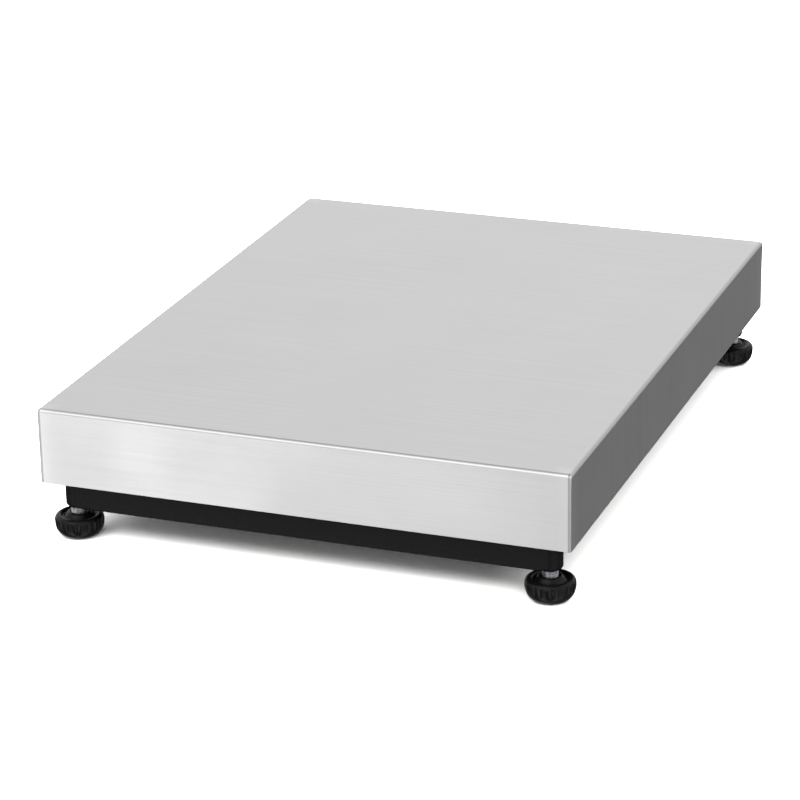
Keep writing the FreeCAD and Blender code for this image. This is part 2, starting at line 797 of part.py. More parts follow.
def arc_path(points):
    """Straight runs joined by tangent arcs, each as large as its two runs allow."""
    pieces = []
    radii = []
    start = points[0]
    for i in range(1, len(points) - 1):
        before = points[i] - points[i - 1]
        after = points[i + 1] - points[i]
        turn = before.getAngle(after)
        cut = arc_share * min(before.Length, after.Length)
        radius = cut / tan(turn / 2)
        radii.append(round(radius, 1))
        into = before.normalize()
        out = after.normalize()
        begin = points[i] - into * cut
        end = points[i] + out * cut
        bisector = (out - into).normalize()
        middle = points[i] + bisector * (radius / cos(turn / 2) - radius)
        pieces.append(Part.LineSegment(start, begin).toShape())
        pieces.append(Part.Arc(begin, middle, end).toShape())
        start = end
    pieces.append(Part.LineSegment(start, points[-1]).toShape())
    return Part.Wire(pieces), radii


def load_cell_lead():
    route, radii = arc_path([V(p.x, p.y, p.z) for p in lead_route])
    circle = Part.Circle(lead_route[0], lead_route[1] - lead_route[0], lead_diameter / 2)
    lead = route.makePipeShell([Part.Wire(circle.toShape())], True, False)
    area = pi * (lead_diameter / 2) ** 2
    print("lead radii", radii, "smallest in diameters", round(min(radii) / lead_diameter, 1))
    print("lead length", round(route.Length, 1))
    print("lead volume ratio", round(lead.Volume / area / route.Length, 4))
    return lead


class Clip:
    """Saddle clip: a band round the lead with a screwed tail on the wall behind it."""

    def __init__(self, centre, along, away):
        self.centre = centre
        self.along = along
        self.away = away

    def shape(self):
        inside = lead_diameter / 2 + clip_fit
        outside = inside + clip_band
        start = self.centre - self.along * (clip_width / 2)
        band = rod(outside, clip_width, start, self.along)
        gap = lead_diameter / 2 + clip_band - clip_sunk
        foot_low = self.centre - self.away * gap
        tail = self.plate(foot_low, clip_band, outside + clip_tail)
        side = self.plate(foot_low, gap, outside)
        clip = band.fuse([side, tail]).cut(rod(inside, clip_width, start, self.along))
        clip = clip.common(self.plate(foot_low, clip_cut, clip_cut, clip_cut))
        return clip.cut(self.drill(small_screw / 2 + small_screw_clear)).removeSplitter()

    def plate(self, low, thick, up, down=0.0):
        """Block on the wall, clip_width long, which reaches up along Z from the lead's centre."""
        a = low - self.along * (clip_width / 2) - Z * down
        b = low + self.along * (clip_width / 2) + self.away * thick + Z * up
        return box(min(a.x, b.x), max(a.x, b.x), min(a.y, b.y), max(a.y, b.y), a.z, b.z)

    def screw_point(self):
        up = lead_diameter / 2 + clip_fit + clip_band + clip_tail / 2
        return self.centre + Z * up - self.away * (lead_diameter / 2 + clip_band - clip_sunk)

    def drill(self, radius):
        return rod(radius, 2 * clip_drill, self.screw_point() - self.away * clip_drill, self.away)

    def hole(self):
        return self.drill(small_screw / 2 + thread_fit)

    def screw(self):
        seat = self.screw_point() + self.away * clip_band
        return pan_head_screw(seat, clip_screw_length, self.away * -1)


def mid_clips():
    return [Clip(V(x, run_y, run_z + clip_lift), X, Y) for x in mid_clip_xs]


def side_clips():
    return [Clip(V(run_x, run_y + step, run_z + clip_lift), Y, X * -1) for step in side_clip_steps]


# ---- build --------------------------------------------------------------------------------------
def build():
    save("pan", pan())

    save("base_front_tube", cross_tube(-1))
    save("base_rear_tube", cross_tube(1))
    save("base_left_tube", side_tube(-1))
    save("base_right_tube", side_tube(1).cut([clip.hole() for clip in side_clips()]))
    save("base_mid_tube", base_mid_tube())

    save("load_cell", load_cell())
    save("load_cell_seals", *cell_seals())
    save("load_cell_gland", cell_gland())
    save("lower_spacer", spacer(cell_bolt_middle, mid_top))
    save("upper_spacer", spacer(-cell_bolt_middle, cell_top))
    screws, washers = cell_screws(cell_bolt_middle, mid_top - mid_wall, Z)
    save("lower_cell_screws", *screws)
    save("lower_cell_washers", *washers)
    screws, washers = cell_screws(-cell_bolt_middle, upper_mid_bottom + mid_wall, Z * -1)
    save("upper_cell_screws", *screws)
    save("upper_cell_washers", *washers)

    save("stop_screws", *[stop_screw(x, y) for x, y in stop_places])
    save("stop_lock_nuts", *[stop_nut(x, y, base_top) for x, y in stop_places])
    low = base_top - tube_wall - m8_nut_height
    save("stop_weld_nuts", *[stop_nut(x, y, low) for x, y in stop_places])

    save("weigh_front_tube", weigh_cross_tube(-1))
    save("weigh_rear_tube", weigh_cross_tube(1))
    save("weigh_left_tube", weigh_side_tube(-1))
    save("weigh_right_tube", weigh_side_tube(1))
    save("weigh_mid_tube", weigh_mid_tube())
    save("weigh_end_plugs", *[end_plug(sx, sy) for sx, sy in corners.values()])
    for name, x, y in pad_places():
        save("pan_pad_" + name, pan_pad(x, y))

    for name, (sx, sy) in corners.items():
        save("corner_post_" + name, corner_post(sx, sy))
        save("foot_knob_" + name, knob(sx * foot_x, sy * foot_y))
        save("foot_stud_" + name, stud(sx * foot_x, sy * foot_y))
        save("foot_sole_" + name, sole(sx * foot_x, sy * foot_y))

    save("level_bracket", level_bracket())
    seats = [V(x, -base_inner_y + bracket_sheet, bracket_screw_z) for x in bracket_screw_xs()]
    save("level_bracket_screws", *[pan_head_screw(seat, bracket_screw_length, Y * -1) for seat in seats])
    save("level_housing", level_housing())
    save("level_fluid", level_fluid())
    save("level_window", level_window())
    save("level_screws", *level_screws())

    save("socket_shell", socket_shell())
    save("socket_insert", socket_insert())
    save("socket_contacts", *socket_contacts())
    save("socket_nut", socket_nut())
    save("lead_boot", lead_boot())
    save("load_cell_lead", load_cell_lead())
    clips = mid_clips() + side_clips()
    save("lead_clips", *[clip.shape() for clip in clips])
    save("lead_clip_screws", *[clip.screw() for clip in clips])


build()
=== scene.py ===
import json
import math
import bpy
from mathutils import Matrix, Vector, noise


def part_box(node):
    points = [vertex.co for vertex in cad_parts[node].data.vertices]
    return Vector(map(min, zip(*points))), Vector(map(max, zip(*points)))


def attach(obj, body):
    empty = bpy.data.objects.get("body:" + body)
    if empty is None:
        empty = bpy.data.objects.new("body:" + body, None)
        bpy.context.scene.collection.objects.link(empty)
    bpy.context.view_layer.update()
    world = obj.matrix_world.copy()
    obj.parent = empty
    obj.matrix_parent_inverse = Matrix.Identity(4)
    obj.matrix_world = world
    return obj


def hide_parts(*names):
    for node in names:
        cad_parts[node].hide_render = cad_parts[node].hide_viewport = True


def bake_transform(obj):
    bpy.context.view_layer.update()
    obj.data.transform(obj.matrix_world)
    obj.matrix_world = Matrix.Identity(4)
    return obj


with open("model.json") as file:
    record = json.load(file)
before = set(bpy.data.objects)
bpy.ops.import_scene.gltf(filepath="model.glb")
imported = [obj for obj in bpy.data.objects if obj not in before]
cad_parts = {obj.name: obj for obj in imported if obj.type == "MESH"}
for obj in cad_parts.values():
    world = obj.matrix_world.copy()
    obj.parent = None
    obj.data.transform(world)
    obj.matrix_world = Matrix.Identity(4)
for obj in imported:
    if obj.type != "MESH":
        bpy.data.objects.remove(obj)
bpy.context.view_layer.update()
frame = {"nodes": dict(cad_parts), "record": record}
nodes = frame["nodes"]
corners = ("front_left", "front_right", "rear_left", "rear_right")
mm = 0.001
print("frame loaded:", len(nodes), "nodes")


def hexColour(text):
    # sRGB hex to the linear colour that sockets take
    values = [int(text[i:i + 2], 16) / 255 for i in (1, 3, 5)]
    return [c / 12.92 if c <= 0.04045 else ((c + 0.055) / 1.055) ** 2.4 for c in values] + [1.0]


def addNode(tree, kind, settings=None, inputs=None):
    # one node with its settings: an input that is another node's socket is linked, anything else is typed in
    node = kind if isinstance(kind, bpy.types.Node) else tree.nodes.new("ShaderNode" + kind)
    for name, value in (settings or {}).items():
        setattr(node, name, value)
    for name, value in (inputs or {}).items():
        if isinstance(value, bpy.types.NodeSocket):
            tree.links.new(value, node.inputs[name])
        else:
            node.inputs[name].default_value = value
    return node


def startMaterial(name):
    # a bare material, its tree and shader, and the place on the piece in metres that its patterns follow
    material = bpy.data.materials.new(name)
    material.use_nodes = True
    tree = material.node_tree
    place = addNode(tree, "TexCoord").outputs["Object"]
    return material, tree, tree.nodes["Principled BSDF"], place


# Belt-ground 304 stainless sheet. The belt leaves long fine lines one way, which smear a highlight across
# themselves, and faint broad bands where it overlapped. Real lines are 0.1 to 0.2 mm wide, too fine to show,
# so they are drawn at lineWidth.
stainlessValues = {
    "light": "#dcdcdc", "dark": "#d3d3d3",
    "lineWidth": 0.9, "lineLength": 190, "lineDetail": 3,      # mm
    "bandWidth": 5, "bandLength": 600, "bandDetail": 2,        # mm
    "bandShare": 0.25,
    "lineDepth": 0.0025,                        # mm of relief
    "smudge": 85, "smudgeGloss": 0.02,          # mm; handling marks, only in the gloss
    "roughness": (0.295, 0.355), "anisotropy": 0.72,
    "groundAndHighlightTone": "#e6e6e6",                   # where the corner welds are ground: without lines, and painted brighter as a highlight where the sheet bends in at the corners
    "paintedCornerShade": "#b0b0b0",                      # painted shade: a darker line beside the rounded upright corners, on front and rear, standing in for their dark reflection
    "paintedCornerShadeIn": 2.0, "paintedCornerShadeHalf": 0.9,     # mm from the pan's side to the line's middle; half its width
}


def grindingMarks(tree, grainMap, width, length, detail):
    # noise drawn out along the grain; width and length in mm
    stretched = addNode(tree, "Mapping", {}, {"Vector": grainMap, "Scale": (1000 / length, 1000 / width, 1)})
    pattern = addNode(tree, "TexNoise", {}, {
        "Vector": stretched.outputs["Vector"], "Scale": 1, "Detail": detail, "Roughness": 0.6,
    })
    return pattern.outputs["Fac"]


def brushedStainless():
    v = stainlessValues
    material, tree, shader, place = startMaterial("belt-ground stainless steel")
    grainMap = addNode(tree, "UVMap", {"uv_map": "grain"}).outputs["UV"]
    lines = grindingMarks(tree, grainMap, v["lineWidth"], v["lineLength"], v["lineDetail"])
    bands = grindingMarks(tree, grainMap, v["bandWidth"], v["bandLength"], v["bandDetail"])
    both = addNode(tree, "Mix", {"data_type": "FLOAT"}, {0: v["bandShare"], 2: lines, 3: bands})
    shade = addNode(tree, "MapRange", {}, {"Value": both.outputs[0], "From Min": 0.34, "From Max": 0.66})
    colour = addNode(tree, "Mix", {"data_type": "RGBA"}, {
        0: shade.outputs["Result"], 6: hexColour(v["dark"]), 7: hexColour(v["light"]),
    })
    # near the corners the grain lines give way to one flat tone: ground weld finish, painted lighter as a
    # highlight
    groundAndHighlight = addNode(tree, "Attribute", {"attribute_name": "nearWeldGroundAndHighlight"}).outputs["Fac"]
    colour = addNode(tree, "Mix", {"data_type": "RGBA"}, {
        0: groundAndHighlight, 6: colour.outputs[2], 7: hexColour(v["groundAndHighlightTone"]),
    })
    # distance in from the pan's sides and from its front or rear picks out the painted shade lines beside the
    # upright corners
    low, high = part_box("pan")
    inwards, half = v["paintedCornerShadeIn"] * mm, v["paintedCornerShadeHalf"] * mm
    fromMiddle = addNode(tree, "VectorMath", {"operation": "ABSOLUTE"}, {0: place}).outputs["Vector"]
    fromEdge = addNode(tree, "VectorMath", {"operation": "SUBTRACT"}, {0: (high.x, high.y, 0), 1: fromMiddle})
    fromEdge = addNode(tree, "SeparateXYZ", {}, {0: fromEdge.outputs["Vector"]})
    off = addNode(tree, "Math", {"operation": "SUBTRACT"}, {0: fromEdge.outputs["X"], 1: inwards})
    off = addNode(tree, "Math", {"operation": "ABSOLUTE"}, {0: off.outputs[0]})
    onLine = addNode(tree, "MapRange", {}, {
        "Value": off.outputs[0], "From Min": half, "From Max": half / 3,
    })
    onSkirt = addNode(tree, "MapRange", {}, {
        "Value": fromEdge.outputs["Y"], "From Min": 2 * inwards, "From Max": inwards,
    })
    paintedCornerShade = addNode(tree, "Math", {"operation": "MULTIPLY"}, {
        0: onLine.outputs["Result"], 1: onSkirt.outputs["Result"],
    })
    # painted shade: the dark line is mixed into the steel's colour here
    colour = addNode(tree, "Mix", {"data_type": "RGBA"}, {
        0: paintedCornerShade.outputs[0], 6: colour.outputs[2], 7: hexColour(v["paintedCornerShade"]),
    })
    smudges = addNode(tree, "TexNoise", {}, {"Vector": place, "Scale": 1000 / v["smudge"], "Detail": 3})
    wiped = addNode(tree, "MapRange", {}, {
        "Value": smudges.outputs["Fac"], "From Min": 0.3, "From Max": 0.7,
        "To Min": -v["smudgeGloss"], "To Max": v["smudgeGloss"],
    })
    gloss = addNode(tree, "MapRange", {}, {
        "Value": lines, "From Min": 0.3, "From Max": 0.7,
        "To Min": v["roughness"][0], "To Max": v["roughness"][1],
    })
    rough = addNode(tree, "Math", {"operation": "ADD"}, {
        0: gloss.outputs["Result"], 1: wiped.outputs["Result"],
    })
    tangent = addNode(tree, "Tangent", {"direction_type": "UV_MAP", "uv_map": "grain"})
    bump = addNode(tree, "Bump", {}, {"Height": lines, "Distance": v["lineDepth"] * mm})
    addNode(tree, shader, {}, {
        "Base Color": colour.outputs[2], "Metallic": 1.0, "Roughness": rough.outputs[0],
        "Anisotropic": v["anisotropy"], "Tangent": tangent.outputs["Tangent"], "Normal": bump.outputs["Normal"],
    })
    return material


# Finishes with no direction. Each is a cloud of two close colours and two roughnesses, with a fine texture in
# relief: cloud, texture and the relief's depth are in millimetres. Sheen is the strength of the reflection off
# the skin, 0.5 being usual; the two deep blacks have less.
finishes = {
    # cured matt black polyester powder over steel: a low sheen, with the slight orange peel of a cured powder
    "black powder-coated steel": {
        "colours": ("#070807", "#0b0c0b"), "cloud": 60, "roughness": (0.42, 0.52), "sheen": 0.10,
        "texture": 1.7, "depth": 0.05,
    },
    # glass-filled nylon from a spark-eroded mould: dull sheen and an even fine grain
    "moulded black nylon": {
        "colours": ("#050505", "#090909"), "cloud": 12, "roughness": (0.22, 0.30), "sheen": 0.18,
        "texture": 0.7, "depth": 0.025,
    },
    # moulded natural rubber: nearly matt, bloomed slightly grey in places
    "moulded black rubber": {
        "colours": ("#161616", "#20201f"), "cloud": 7, "roughness": (0.62, 0.78), "texture": 0.6, "depth": 0.03,
    },
    # bright zinc with a clear passivate: cool, a little cloudy, with wrench and handling marks
    "bright zinc-plated steel": {
        "colours": ("#b9bdc1", "#d6d8db"), "cloud": 4, "roughness": (0.32, 0.46), "metal": True,
        "texture": 0.5, "depth": 0.012,
    },
    # milled bar, clear anodised: an even soft silver
    "clear anodised aluminium": {
        "colours": ("#c3c5c8", "#d2d4d6"), "cloud": 11, "roughness": (0.36, 0.46), "metal": True,
        "texture": 0.3, "depth": 0.015,
    },
    # turned brass under nickel: warm silver and glossy
    "nickel-plated brass": {
        "colours": ("#c6bfb2", "#d9d2c5"), "cloud": 5, "roughness": (0.15, 0.25), "metal": True,
        "texture": 0.5, "depth": 0.008,
    },
    # contact pins with a thin gold flash
    "gold-flashed brass": {
        "colours": ("#c9a653", "#e0bf6d"), "cloud": 2, "roughness": (0.20, 0.30), "metal": True,
        "texture": 0.4, "depth": 0.006,
    },
    # white silicone poured over the gauges: soft skin with shallow ripples
    "white potting silicone": {
        "colours": ("#dad8d0", "#e8e7e1"), "cloud": 6, "roughness": (0.34, 0.48), "texture": 2.4, "depth": 0.12,
    },
    # polished ABS of the level's cup
    "moulded black ABS": {
        "colours": ("#121213", "#19191a"), "cloud": 8, "roughness": (0.12, 0.20), "texture": 1.2, "depth": 0.01,
    },
    # extruded PVC jacket: dark grey, with the die's faint drag
    "extruded grey PVC": {
        "colours": ("#2d2e30", "#3a3b3d"), "cloud": 9, "roughness": (0.42, 0.54), "texture": 0.8, "depth": 0.02,
    },
}


def cloudyFinish(name, v):
    material, tree, shader, place = startMaterial(name)
    cloud = addNode(tree, "TexNoise", {}, {"Vector": place, "Scale": 1000 / v["cloud"], "Detail": 4})
    texture = addNode(tree, "TexNoise", {}, {"Vector": place, "Scale": 1000 / v["texture"], "Detail": 2})
    spread = addNode(tree, "MapRange", {}, {"Value": cloud.outputs["Fac"], "From Min": 0.3, "From Max": 0.7})
    colour = addNode(tree, "Mix", {"data_type": "RGBA"}, {
        0: spread.outputs["Result"], 6: hexColour(v["colours"][0]), 7: hexColour(v["colours"][1]),
    })
    rough = addNode(tree, "MapRange", {}, {
        "Value": cloud.outputs["Fac"], "From Min": 0.3, "From Max": 0.7,
        "To Min": v["roughness"][0], "To Max": v["roughness"][1],
    })
    bump = addNode(tree, "Bump", {}, {"Height": texture.outputs["Fac"], "Distance": v["depth"] * mm})
    addNode(tree, shader, {}, {
        "Base Color": colour.outputs[2], "Roughness": rough.outputs["Result"], "Normal": bump.outputs["Normal"],
        "Metallic": 1.0 if v.get("metal") else 0.0, "Specular IOR Level": v.get("sheen", 0.5),
    })
    return material


# Clear pieces of the bubble level.
clearFinishes = {
    # cast acrylic window: clear, with a faint haze of wiping scratches
    "clear cast acrylic": {
        "colours": ("#f4f6f5", "#fbfcfb"), "cloud": 3, "roughness": (0.02, 0.06), "ior": 1.49,
    },
    # dyed spirit: clear yellow-green
    "dyed level spirit": {
        "colours": ("#b9d23c", "#c6dc52"), "cloud": 8, "roughness": (0.0, 0.02), "ior": 1.36,
    },
}


def clearFinish(name, v):
    material, tree, shader, place = startMaterial(name)
    cloud = addNode(tree, "TexNoise", {}, {"Vector": place, "Scale": 1000 / v["cloud"], "Detail": 4})
    colour = addNode(tree, "Mix", {"data_type": "RGBA"}, {
        0: cloud.outputs["Fac"], 6: hexColour(v["colours"][0]), 7: hexColour(v["colours"][1]),
    })
    rough = addNode(tree, "MapRange", {}, {
        "Value": cloud.outputs["Fac"], "From Min": 0.3, "From Max": 0.7,
        "To Min": v["roughness"][0], "To Max": v["roughness"][1],
    })
    addNode(tree, shader, {}, {
        "Base Color": colour.outputs[2], "Roughness": rough.outputs["Result"], "IOR": v["ior"],
        "Transmission Weight": 1.0,
    })
    return material


materials = {name: cloudyFinish(name, values) for name, values in finishes.items()}
materials.update({name: clearFinish(name, values) for name, values in clearFinishes.items()})
stainless = brushedStainless()
print("materials made:", len(materials) + 1)

slotFinish = {
    "stainless_pan": stainless,
    "frame_paint": materials["black powder-coated steel"],
    "knob_plastic": materials["moulded black nylon"],
    "zinc_stud": materials["bright zinc-plated steel"],
    "sole_rubber": materials["moulded black rubber"],
    "pad_rubber": materials["moulded black rubber"],
    "cell_aluminium": materials["clear anodised aluminium"],
    "cell_sealant": materials["white potting silicone"],
    "nickel_plate": materials["nickel-plated brass"],
    "zinc_plate": materials["bright zinc-plated steel"],
    "zinc_fasteners": materials["bright zinc-plated steel"],
    "plug_plastic": materials["moulded black nylon"],
    "level_plastic": materials["moulded black ABS"],
    "level_liquid": materials["dyed level spirit"],
    "level_glass": materials["clear cast acrylic"],
    "insert_plastic": materials["moulded black nylon"],
    "contact_brass": materials["gold-flashed brass"],
    "boot_rubber": materials["moulded black rubber"],
    "lead_pvc": materials["extruded grey PVC"],
    "clip_nylon": materials["moulded black nylon"],
}

for part in frame["record"]["subparts"]:
    for holder in nodes[part["node"]].material_slots:
        holder.material = slotFinish[part["material_slot"]]
print("frame dressed")


def newPiece(name, mesh, slotName, body, replaced=()):
    # a finished mesh becomes a piece: its material comes with its slot, and it rides on its body
    if not mesh.materials:
        mesh.materials.append(slotFinish[slotName])
    mesh.shade_smooth()
    mesh.set_sharp_from_angle(angle=math.radians(38))
    piece = bpy.data.objects.new(name, mesh)
    bpy.context.scene.collection.objects.link(piece)
    if replaced:
        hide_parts(*replaced)
    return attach(piece, body) if body else piece


def meshFrom(name, vertices, faces):
    mesh = bpy.data.meshes.new(name)
    mesh.from_pydata(vertices, [], faces)
    mesh.validate()
    return mesh


# The pan: one folded sheet, its corners welded and ground round.
panValues = {
    "sheet": 1.5, "bend": 3.0, "corner": 1.4, "rim": 0.5,   # mm
    "cornerGrow": 0.5,          # how much rounder a corner gets per mm that its ring is set in
    "cell": 10,                 # mesh cells on the flats
    "bendSteps": 8, "cornerSteps": 6, "rimSteps": 3, "skirtRows": 7,
    "wave": 0.10, "waveLength": 130,      # how far the flats wander inwards, and over what distance
    "topDepth": 5.0, "topInset": 4.0,     # nearer to the top than this, and farther in, is the top's flat
    "drawIn": 0.16, "drawReach": 20,      # pull of the corner welds on the skirt beside them
    "groundAndHighlightReach": 13, "groundAndHighlightFade": 0.7, # how far from a corner the ground weld and its painted highlight reach, and how they fade
}


def panOutline(halfX, halfY, radius, cellsX, cellsY, steps):
    # a rounded rectangle, counter-clockwise from the front left: place and side of each point
    points = []
    ends = (((-1, -1), (1, -1)), ((1, -1), (1, 1)), ((1, 1), (-1, 1)), ((-1, 1), (-1, -1)))
    for side, (start, end) in enumerate(ends):
        a = Vector((start[0] * (halfX - radius), start[1] * (halfY - radius)))
        b = Vector((end[0] * (halfX - radius), end[1] * (halfY - radius)))
        turn = math.pi / 2 * (side - 1)
        out = Vector((math.cos(turn), math.sin(turn)))
        cells = cellsX if side % 2 == 0 else cellsY
        points += [(a.lerp(b, i / cells) + out * radius, side) for i in range(cells + 1)]
        for i in range(1, steps):
            angle = turn + math.pi / 2 * i / steps
            arc = b + Vector((math.cos(angle), math.sin(angle))) * radius
            points.append((arc, side if i < steps / 2 else (side + 1) % 4))
    return points


def panProfile(low, high):
    # inset and height of each ring, from the inside of the top, round the rim, to the outside of the top
    v = {name: value * mm for name, value in panValues.items()}
    bendSteps, rimSteps, rows = (panValues[name] for name in ("bendSteps", "rimSteps", "skirtRows"))
    bendAngles = [math.pi / 2 * i / bendSteps for i in range(bendSteps + 1)]
    rimAngles = [math.pi / 2 * i / rimSteps for i in range(rimSteps + 1)]
    foldZ = high.z - v["bend"]
    rimZ = low.z + v["rim"]
    inner = v["bend"] - v["sheet"]
    rings = [(v["sheet"] + inner * (1 - math.cos(a)), foldZ + inner * math.sin(a))
             for a in reversed(bendAngles)]
    rings += [(v["sheet"], foldZ + (rimZ - foldZ) * i / rows) for i in range(1, rows)]
    rings += [(v["sheet"] - v["rim"] * (1 - math.cos(a)), rimZ - v["rim"] * math.sin(a)) for a in rimAngles]
    rings += [(v["rim"] * (1 - math.sin(a)), rimZ - v["rim"] * math.cos(a)) for a in rimAngles]
    rings += [(0, rimZ + (foldZ - rimZ) * i / rows) for i in range(1, rows)]
    rings += [(v["bend"] * (1 - math.cos(a)), foldZ + v["bend"] * math.sin(a)) for a in bendAngles]
    return rings


def panTop(vertices, start, count, cellsX, cellsY, steps, faceUp):
    # closes one end ring with a grid of cells, and one many-sided cell at each corner
    front = [start + i for i in range(cellsX + 1)]
    right = [front[-1] + steps + i for i in range(cellsY + 1)]
    back = [right[-1] + steps + i for i in range(cellsX + 1)]
    left = [back[-1] + steps + i for i in range(cellsY + 1)]
    z = vertices[start][2]
    grid = {}
    for i in range(cellsX + 1):
        grid[i, 0], grid[i, cellsY] = front[i], back[cellsX - i]
    for j in range(cellsY + 1):
        grid[cellsX, j], grid[0, j] = right[j], left[cellsY - j]
    for i in range(1, cellsX):
        for j in range(1, cellsY):
            grid[i, j] = len(vertices)
            vertices.append((vertices[front[i]][0], vertices[right[j]][1], z))
    loops = []
    for i in range(cellsX):
        for j in range(cellsY):
            if i in (0, cellsX - 1) and j in (0, cellsY - 1):
                continue
            loops.append([grid[i, j], grid[i + 1, j], grid[i + 1, j + 1], grid[i, j + 1]])
    insides = (grid[cellsX - 1, 1], grid[cellsX - 1, cellsY - 1], grid[1, cellsY - 1], grid[1, 1])
    sides = (front, right, back, left)
    for number, inside in enumerate(insides):
        side = sides[number]
        arc = [start + (side[-1] + i - start) % count for i in range(1, steps)]
        following = sides[(number + 1) % 4]
        loops.append([side[-2], side[-1]] + arc + [following[0], following[1], inside])
    return loops if faceUp else [loop[::-1] for loop in loops]


def panRelief(x, y, z, low, high):
    # how far a point of the sheet moves inwards: slow waves on the flats, and the pull of the corner welds
    v = panValues
    edge = v["drawReach"] * mm
    fromX = min(x - low.x, high.x - x)
    fromY = min(y - low.y, high.y - y)
    fromTop = high.z - z
    easeX = min(max(fromX / (2 * edge), 0), 1) ** 2
    easeY = min(max(fromY / (2 * edge), 0), 1) ** 2
    wave = 0.5 + 0.5 * noise.noise(Vector((x, y, z)) * (1000 / v["waveLength"]))
    wave *= v["wave"] * mm
    if fromTop < v["topDepth"] * mm and min(fromX, fromY) > v["topInset"] * mm:
        return Vector((0, 0, -wave * easeX * easeY))
    if fromTop < v["bend"] * mm:
        return Vector((0, 0, 0))
    down = min(fromTop / edge, 1)
    if fromY < fromX:
        pull = v["drawIn"] * mm * max(1 - fromX / edge, 0) ** 2
        return Vector((0, (wave * easeX + pull) * down * (1 if y < 0 else -1), 0))
    pull = v["drawIn"] * mm * max(1 - fromY / edge, 0) ** 2
    return Vector(((wave * easeY + pull) * down * (1 if x < 0 else -1), 0, 0))


def makePan():
    v = panValues
    low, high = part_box("pan")
    cellsX = round((high.x - low.x) / (v["cell"] * mm))
    cellsY = round((high.y - low.y) / (v["cell"] * mm))
    vertices, faces, faceSides = [], [], []
    rings = panProfile(low, high)
    for inset, z in rings:
        radius = v["corner"] * mm + inset * v["cornerGrow"]
        outline = panOutline(high.x - inset, high.y - inset, radius, cellsX, cellsY, v["cornerSteps"])
        vertices += [(p.x, p.y, z) for p, side in outline]
    count = len(outline)
    for ring in range(len(rings) - 1):
        for i in range(count):
            j = (i + 1) % count
            lower, upper = ring * count, (ring + 1) * count
            faces.append([lower + i, lower + j, upper + j, upper + i])
            faceSides.append(outline[i][1])
    for start, faceUp in ((0, False), ((len(rings) - 1) * count, True)):
        loops = panTop(vertices, start, count, cellsX, cellsY, v["cornerSteps"], faceUp)
        faces += loops
        faceSides += [4] * len(loops)
    settled = [Vector(p) + panRelief(*p, low, high) for p in vertices]
    mesh = meshFrom("panSheet", settled, faces)
    # how near each point is to a corner: the ground weld finish there, painted lighter as a highlight
    nearWeldGroundAndHighlight = mesh.attributes.new("nearWeldGroundAndHighlight", "FLOAT", "POINT")
    for point, (x, y, z) in zip(nearWeldGroundAndHighlight.data, vertices):
        away = max(min(x - low.x, high.x - x), min(y - low.y, high.y - y)) / (v["groundAndHighlightReach"] * mm)
        point.value = max(1 - away, 0) ** v["groundAndHighlightFade"]
    # The grain runs along X on the top, front and rear, and upright on the two sides. Each face has its own
    # stretch of the pattern, so that lines don't carry on round a fold.
    grain = mesh.uv_layers.new(name="grain")
    for polygon, side in zip(mesh.polygons, faceSides):
        for corner in polygon.loop_indices:
            x, y, z = vertices[mesh.loops[corner].vertex_index]
            if side == 4:
                grain.data[corner].uv = (x, y)
            elif side % 2 == 0:
                grain.data[corner].uv = (x, z + 1 + side)
            else:
                grain.data[corner].uv = (z + 3 + side, y)
    pan = newPiece("panSheet", mesh, "stainless_pan", "pan", ["pan"])
    flat = pan.modifiers.new("keep the flats flat", "WEIGHTED_NORMAL")
    flat.weight = 80


makePan()
print("pan folded")


# The feet: moulded knobs with finger flutes, on studs with a rolled thread.
knobValues = {
    "radius": 19.0, "flutes": 18, "fluteRadius": 2.4, "fluteBite": 0.75,   # mm
    "edge": 0.35,                                                          # rounds the flutes' rims
    "stepsPerFlute": 14,
    "underside": [(0, 4.6), (3.6, 4.6), (3.6, 2.5), (12.1, 2.5), (12.1, 0.6), (12.9, 0.6)],
    "outside": [
        (12.9, 0.6), (14.6, 1.3), (16.2, 2.6), (17.9, 5.2), (18.7, 8.0), (19.0, 10.8), (19.0, 12.7),
        (18.7, 14.3), (17.8, 15.6), (16.5, 16.45), (15.2, 16.7), (14.3, 16.5), (13.6, 15.7), (13.1, 14.9),
        (12.4, 14.7), (11.6, 15.1), (10.4, 16.2), (9.3, 17.5), (8.6, 18.2), (7.8, 18.5),
    ],
    "bore": [(7.8, 18.5), (6.8, 18.5), (6.05, 17.7), (6.05, 6.0), (0, 6.0)],
}
studValues = {
    "radius": 5.97, "length": 52, "start": 6, "pitch": 1.75, "depth": 0.8, "chamfer": 1.0,   # mm, M12
    "crest": 0.14, "flank": 0.62,         # shares of half a pitch: flat crest, then the slope to the root
    "stepsPerTurn": 12, "around": 48,
}


def cutCorners(points, times):
    # rounds an open run of points by cutting each corner, ends kept
    for turn in range(times):
        cut = [points[0]]
        for (r0, z0), (r1, z1) in zip(points, points[1:]):
            cut.append((0.75 * r0 + 0.25 * r1, 0.75 * z0 + 0.25 * z1))
            cut.append((0.25 * r0 + 0.75 * r1, 0.25 * z0 + 0.75 * z1))
        points = cut + [points[-1]]
    return points


def latheMesh(name, profile, around, radiusAt, axis):
    # turns (radius, height) points about an upright axis; radiusAt may change a radius at each angle
    vertices, faces, rows = [], [], []
    for r, z in profile:
        if r < 1e-6:
            rows.append([len(vertices)] * around)
            vertices.append((axis.x, axis.y, z * mm))
            continue
        rows.append(range(len(vertices), len(vertices) + around))
        for i in range(around):
            angle = 2 * math.pi * i / around
            reach = radiusAt(r, angle, z) * mm
            vertices.append((axis.x + reach * math.cos(angle), axis.y + reach * math.sin(angle), z * mm))
    for lower, upper in zip(rows, rows[1:]):
        for i in range(around):
            j = (i + 1) % around
            corner = [lower[i], lower[j], upper[j], upper[i]]
            faces.append([c for k, c in enumerate(corner) if c != corner[k - 1]])
    return meshFrom(name, vertices, faces)


